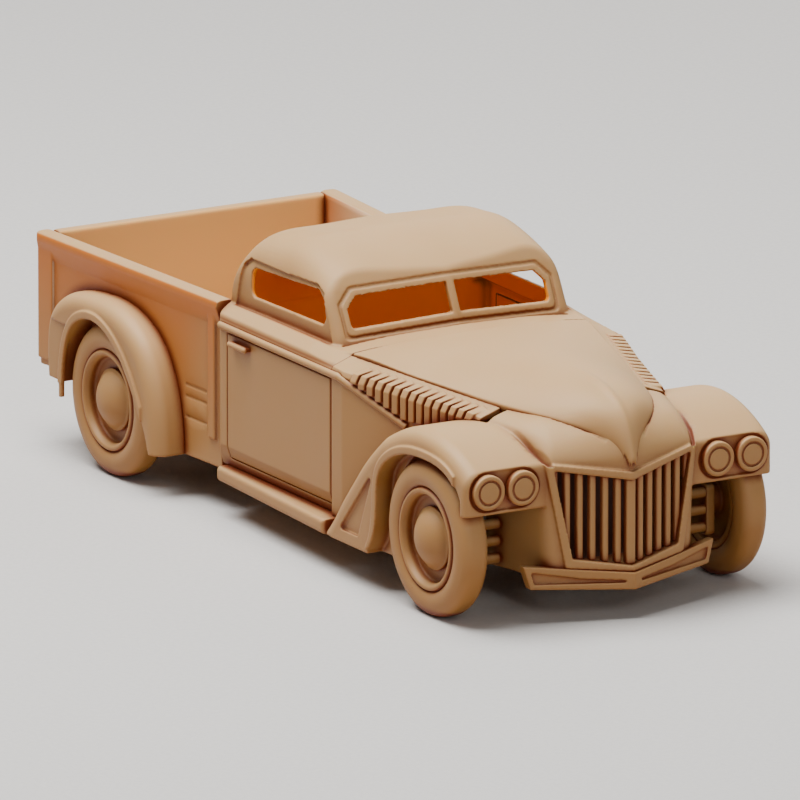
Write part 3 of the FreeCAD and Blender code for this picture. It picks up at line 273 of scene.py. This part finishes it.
def casting(name, body, nodes, material, voxel=0.28, smooth=5, faces=20000, finish=None):
    """One casting made of CAD nodes: their joints filled and their edges softened as in a mould.

    Its surface is rebuilt in cells of the voxel's size, smoothed, and thinned to the number of faces.
    A finish works over the points of the surface by hand, in millimetres, each with the way that it faces."""
    shape = bmesh.new()
    for node in nodes:
        shape.from_mesh(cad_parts[node].data)
    bmesh.ops.remove_doubles(shape, verts=shape.verts, dist=SAME_POINT * MM)
    mesh = bpy.data.meshes.new(name)
    shape.to_mesh(mesh)
    shape.free()
    piece = bpy.data.objects.new(name, mesh)
    bpy.context.scene.collection.objects.link(piece)
    skin = piece.modifiers.new("skin", "REMESH")
    skin.mode, skin.voxel_size, skin.use_smooth_shade = "VOXEL", voxel * MM, True
    rub = piece.modifiers.new("rub", "SMOOTH")
    rub.factor, rub.iterations = 0.5, smooth
    dense = bpy.data.meshes.new_from_object(piece.evaluated_get(bpy.context.evaluated_depsgraph_get()))
    piece.modifiers.clear()
    if finish:
        surface = [(vertex.co / MM, vertex.normal.copy()) for vertex in dense.vertices]
        for vertex, (place, normal) in zip(dense.vertices, surface):
            vertex.co = finish(place, normal) * MM
    piece.data = dense
    thin = piece.modifiers.new("thin", "DECIMATE")
    thin.ratio = min(1.0, faces / (2.0 * len(dense.polygons)))
    finished = bpy.data.meshes.new_from_object(piece.evaluated_get(bpy.context.evaluated_depsgraph_get()))
    piece.modifiers.clear()
    piece.data = finished
    finished.name = name
    finished.materials.clear()
    finished.materials.append(material)
    for polygon in finished.polygons:
        polygon.use_smooth = True
    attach(piece, body)
    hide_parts(*nodes)
    return piece


frame_resin = resin("frame_resin", painted_shade=0.25)
casting("chassis_frame", "chassis", ["frame_rails"], frame_resin)
casting("rear_axle_tube", "chassis", ["rear_axle"], frame_resin, faces=8000)
for hand in ("right", "left"):
    casting("leaf_spring_" + hand, "chassis", ["rear_spring_" + hand], frame_resin, voxel=0.2, faces=5000)
    casting("knuckle_" + hand, "chassis", ["front_knuckle_" + hand], frame_resin, voxel=0.2, faces=6000)
    casting("link_bars_" + hand, "chassis", ["suspension_links_" + hand], frame_resin, voxel=0.15, faces=8000)


# Each wheel is a smooth tyre on a dished rim with a domed cap: three castings, pressed together. It turns on
# the stub axle behind it.
# The wheels are darkened all over with painted shade, and painted shade reaches far into the wheel wells.
wheel_resin = resin("wheel_resin", nook_reach=16.0, painted_shade=0.36)
WHEEL_PIECES = (("tyre", 20000), ("rim", 18000), ("hub_cap", 6000))
for end in ("front", "rear"):
    for hand in ("right", "left"):
        corner = end + "_" + hand
        for kind, faces in WHEEL_PIECES:
            casting(kind + "_casting_" + corner, "wheel_" + corner, [kind + "_" + corner], wheel_resin,
                    voxel=0.22, smooth=4, faces=faces)


# The cab is one hollow casting: roof, pillars, rear wall and cowl, with open windows. It is glued on its
# floor plate. Light comes through its roof and warms its inside to orange.
CAB_MIDDLE = (-1.0, 0.0, 42.0)
CAB_INSIDE = (1.0, 0.36, 0.015, 1.0)
CAB_GLOW = 0.033
BELT_TOP, BELT_HALF, BELT_SHARE = 38.65, 0.55, 0.75
BELT_BEND, BELT_RUN, BELT_DROP = 27.0, 17.0, 6.6
BELT_SIDE = (25.0, 26.0)
HEADER_FOOT, HEADER_FRONT, HEADER_SHARE = (49.8, 51.0), (9.0, 12.0), 0.6


def belt_shade_and_header_light(places, facing):
    """Painted shade along the top of the belt bead, which bends down where the cowl begins, and painted light
    on the header.
    """
    fall = places.part("X").between(BELT_BEND, BELT_BEND + BELT_RUN) * (BELT_DROP * MM)
    above = places.part("Z") + fall - BELT_TOP * MM
    line = (1.0 - abs(above) / (BELT_HALF * MM)).clamp() * abs(places.part("Y")).between(*BELT_SIDE)
    header = places.part("Z").between(*HEADER_FOOT) * places.part("X").between(*HEADER_FRONT)
    return [(header * HEADER_SHARE, RESIN_LIT), (line * BELT_SHARE, RESIN_CREASE_SHADE)]


cab_resin = resin("cab_resin", rooms=((CAB_MIDDLE, CAB_INSIDE, 0.96),), painted_light_and_shade=belt_shade_and_header_light, glow=CAB_GLOW)
casting("cab_casting", "chassis", ["cab_shell"], cab_resin, voxel=0.19, smooth=6, faces=120000)
casting("cab_floor_plate", "chassis", ["cab_floor"], cab_resin, faces=6000)


# The doors are two panels let into the cab's sides behind narrow shut lines, each with a small cast pull.
# A half-round bead is glued along the belt above them, a plain wall closes the cowl ahead of them, and a
# running board lies under them.
side_resin = resin("side_resin")
cowl_resin = resin("cowl_resin", painted_light_and_shade=belt_shade_and_header_light)
for hand in ("right", "left"):
    casting("door_panel_" + hand, "chassis", ["door_" + hand], cab_resin, voxel=0.19, faces=20000)
    casting("door_pull_" + hand, "chassis", ["door_handle_" + hand], side_resin,
            voxel=0.12, smooth=3, faces=4000)
    casting("belt_bead_" + hand, "chassis", ["belt_moulding_" + hand], side_resin,
            voxel=0.15, smooth=3, faces=6000)
    casting("cowl_wall_" + hand, "chassis", ["cowl_side_" + hand], cowl_resin, faces=12000)
    casting("step_board_" + hand, "chassis", ["running_board_" + hand], side_resin, voxel=0.22, faces=12000)


# The hood is one casting, laid on the nose with hardly a crease between them. It runs out over the grille to
# a keeled beak.
nose_resin = resin("nose_resin")
BEAK_TIP, BEAK_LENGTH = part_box("hood")[1][0] / MM, 9.0
SWELL, SWELL_RUN = 0.17, (50.0, 58.0)
POINT_REACH, POINT_NARROWING = 0.35, 0.50
KEEL_HEIGHT, KEEL_WIDTH, KEEL_RUN = 0.40, 0.9, (60.0, 74.0)


def grown(value, low, high):
    """How far a value is on its way from low to high, from 0 to 1."""
    return min(max((value - low) / (high - low), 0.0), 1.0)


def beak(place, normal):
    """The hood swells until its front joint closes to a crease, and narrows to a keeled point."""
    place = place + normal * SWELL * grown(place.x, *SWELL_RUN)
    tip = grown(place.x, BEAK_TIP - BEAK_LENGTH, BEAK_TIP)
    place.x += POINT_REACH * tip * tip
    place.y *= 1.0 - POINT_NARROWING * tip * tip
    place.z += KEEL_HEIGHT * grown(place.x, *KEEL_RUN) * math.exp(-(place.y / KEEL_WIDTH) ** 2)
    return place


casting("hood_casting", "chassis", ["hood"], nose_resin, voxel=0.2, smooth=6, faces=50000, finish=beak)


# The nose and both front fenders are one hollow casting, with a raised rim round the grille's opening. Each
# fender's crown rises beside the nose, and a groove parts them.
FRONT_CLIP = ["grille_shell", "grille_rim", "front_fender_right", "front_fender_left"]
VALLEY = ((70.5, 17.6), (76.0, 17.0), (80.4, 15.4))
VALLEY_DEPTH, VALLEY_HALF, VALLEY_RUN = 0.75, 0.6, (69.5, 75.0)
CROWN_HEIGHT, CROWN_FACING = 26.0, 0.2


def valley(place, normal):
    """A short groove runs forward between each fender's crown and the nose."""
    away = VALLEY_HALF
    for (x, y), (far_x, far_y) in zip(VALLEY, VALLEY[1:]):
        run, drop = far_x - x, far_y - y
        ahead, aside = place.x - x, abs(place.y) - y
        along = grown(ahead * run + aside * drop, 0.0, run ** 2 + drop ** 2)
        away = min(away, math.hypot(ahead - along * run, aside - along * drop))
    if away < VALLEY_HALF and place.z > CROWN_HEIGHT and normal.z > CROWN_FACING:
        place.z -= VALLEY_DEPTH * (1.0 - (away / VALLEY_HALF) ** 2) * grown(place.x, *VALLEY_RUN)
    return place


casting("front_clip", "chassis", FRONT_CLIP, nose_resin, voxel=0.2, smooth=8, faces=120000, finish=valley)


# The grille is thirteen upright slats across the nose. Behind them stands a plain radiator block, black with
# painted shade, and below them a bumper bar with two long slots is glued on.
casting("grille_slats", "chassis", ["grille_bars"], nose_resin, voxel=0.14, smooth=5, faces=26000)
# The bumper is darkened all over with painted shade, and painted shade reaches further into its creases.
bumper_resin = resin("bumper_resin", crease_shade_reach=4.0, painted_shade=0.3)
casting("bumper_bar", "chassis", ["bumper"], bumper_resin, voxel=0.16, smooth=9, faces=20000)
# The radiator's forward faces are painted near black as shade, and the block is darkened all over with
# painted shade.
AHEAD, CORE_SHADE = (120.0, 0.0, 20.0), (0.06, 0.01, 0.002, 1.0)
core_resin = resin("core_resin", painted_shade=0.5, rooms=((AHEAD, CORE_SHADE, 0.95),))
casting("radiator_block", "chassis", ["radiator"], core_resin, faces=4000)


# Under each edge of the hood a thin wall with a row of louvres runs on into the nose. Two round lamps stand
# side by side in the pod at the front of each fender.
LOUVRE_END, LOUVRE_JOIN, LOUVRE_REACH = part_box("hood_side_right")[1][0] / MM, 0.5, 1.5


def louvre_end(place, normal):
    """The wall's front end, drawn out until it meets the nose."""
    place.x += LOUVRE_REACH * grown(place.x, LOUVRE_END - LOUVRE_JOIN, LOUVRE_END)
    return place


for hand in ("right", "left"):
    casting("louvre_wall_" + hand, "chassis", ["hood_side_" + hand], nose_resin,
            voxel=0.14, smooth=5, faces=34000, finish=louvre_end)
    casting("lamp_pair_" + hand, "chassis", ["headlamps_" + hand], nose_resin,
            voxel=0.12, smooth=3, faces=12000)


# The load bed is four walls on a plain floor, with a rolled rail on top. Its thin walls let light through, so
# that they are orange outside and pale inside. Three short lines are pressed into each side.
BED_MIDDLE = (-52.0, 0.0, 33.0)
BED_PALE = (0.74, 0.54, 0.34, 1.0)
BED_GLOW = (0.88, 0.51, 0.19, 1.0)
BED_FLAME = (0.47, 0.125, 0.008, 1.0)
BED_OUTSIDE, BED_UPRIGHT = (28.5, 29.5), (0.5, 0.8)
RAIL_DEPTH = 3.0
FLAME_FOOT, FLAME_HEAD = 14.0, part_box("bed_side_right")[1][2] / MM - RAIL_DEPTH
FLAME_LEAST, FLAME_GAIN = 0.12, 0.80


def rail_glow(places, facing):
    """The light that comes through the wall's outer face, most of all just under the rail."""
    outer = abs(places.part("Y")).between(*BED_OUTSIDE) * abs(facing.part("Y")).clear(*BED_UPRIGHT)
    height = places.part("Z").between(FLAME_FOOT, FLAME_HEAD)
    return [(outer * (FLAME_LEAST + FLAME_GAIN * height), BED_FLAME)]


bed_resin = resin("bed_resin", rooms=((BED_MIDDLE, BED_PALE, 0.9),), painted_light_and_shade=rail_glow)
tail_resin = resin("tail_resin", rooms=((BED_MIDDLE, BED_GLOW, 0.92),))
SWAGE_HEIGHTS, SWAGE_REAR, SWAGE_FRONT = (22.3, 20.0, 16.0), -33.5, -25.5
SWAGE_DEPTH, SWAGE_HALF = 0.28, 0.45
WALL_FACE, WALL_FACING = 29.0, 0.7


def swages(place, normal):
    """Three short pressed lines cross each wall in front of its fender."""
    if abs(place.y) > WALL_FACE and abs(normal.y) > WALL_FACING and SWAGE_REAR < place.x < SWAGE_FRONT:
        away = min(abs(place.z - height) for height in SWAGE_HEIGHTS)
        place.y -= math.copysign(SWAGE_DEPTH * (1.0 - grown(away, 0.0, SWAGE_HALF)), place.y)
    return place


casting("bed_floor_plate", "chassis", ["bed_floor"], bed_resin, faces=16000)
casting("bed_front_plate", "chassis", ["bed_front_wall"], bed_resin, faces=10000)
casting("tailgate_panel", "chassis", ["tailgate"], tail_resin, faces=14000)
for hand in ("right", "left"):
    casting("bed_wall_" + hand, "chassis", ["bed_side_" + hand], bed_resin,
            voxel=0.2, faces=36000, finish=swages)


# The rear fenders are two hollow castings with a rolled lip, glued to the bed's sides over the rear wheels.
# They keep the plain tan of the resin, since nothing shines through them.
fender_resin = resin("fender_resin")
for hand in ("right", "left"):
    casting("rear_fender_casting_" + hand, "chassis", ["rear_fender_" + hand], fender_resin,
            voxel=0.2, smooth=6, faces=30000)
